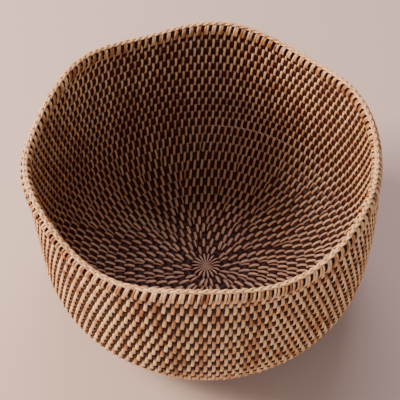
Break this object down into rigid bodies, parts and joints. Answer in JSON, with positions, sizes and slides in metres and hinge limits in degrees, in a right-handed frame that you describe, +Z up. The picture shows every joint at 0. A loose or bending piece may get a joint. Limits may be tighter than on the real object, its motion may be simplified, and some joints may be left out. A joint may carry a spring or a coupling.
{
  "type": "woven fruit basket",
  "caption": "Round barrel-sided basket woven from pale peel strips over dark flat hoops, with a gently waved, wrapped and plaited rim.",
  "frame": {"origin": "middle of the underside, on the surface that the basket stands on", "axes": "+Z up along the bowl's axis, -Y is the front that the camera looks at, +X is to its right"},
  "size_m": [0.3123, 0.3123, 0.2037],
  "materials": {
    "peel": "satin natural rattan peel, honey tan",
    "peel_light": "satin pale rattan peel",
    "cane_dark": "dark-stained cane with a low gloss"
  },
  "bodies": {
    "root": {"centre_crossing": "peel", "outside_strips": "peel", "inside_strips": "peel", "upper_outside_strips": "peel", "upper_inside_strips": "peel", "rim_pole": "cane_dark", "rim_wrap": "peel_light", "rim_plait": "peel_light", "hoop_01": "cane_dark", "hoop_02": "cane_dark", "hoop_03": "cane_dark", "hoop_04": "cane_dark", "hoop_05": "cane_dark", "hoop_06": "cane_dark", "hoop_07": "cane_dark", "hoop_08": "cane_dark", "hoop_09": "cane_dark", "hoop_10": "cane_dark", "hoop_11": "cane_dark", "hoop_12": "cane_dark", "hoop_13": "cane_dark", "hoop_14": "cane_dark", "hoop_15": "cane_dark", "hoop_16": "cane_dark", "hoop_17": "cane_dark", "hoop_18": "cane_dark", "hoop_19": "cane_dark", "hoop_20": "cane_dark", "hoop_21": "cane_dark", "hoop_22": "cane_dark", "hoop_23": "cane_dark", "hoop_24": "cane_dark", "hoop_25": "cane_dark", "hoop_26": "cane_dark", "hoop_27": "cane_dark", "hoop_28": "cane_dark", "hoop_29": "cane_dark", "hoop_30": "cane_dark"}
  },
  "joints": []
}
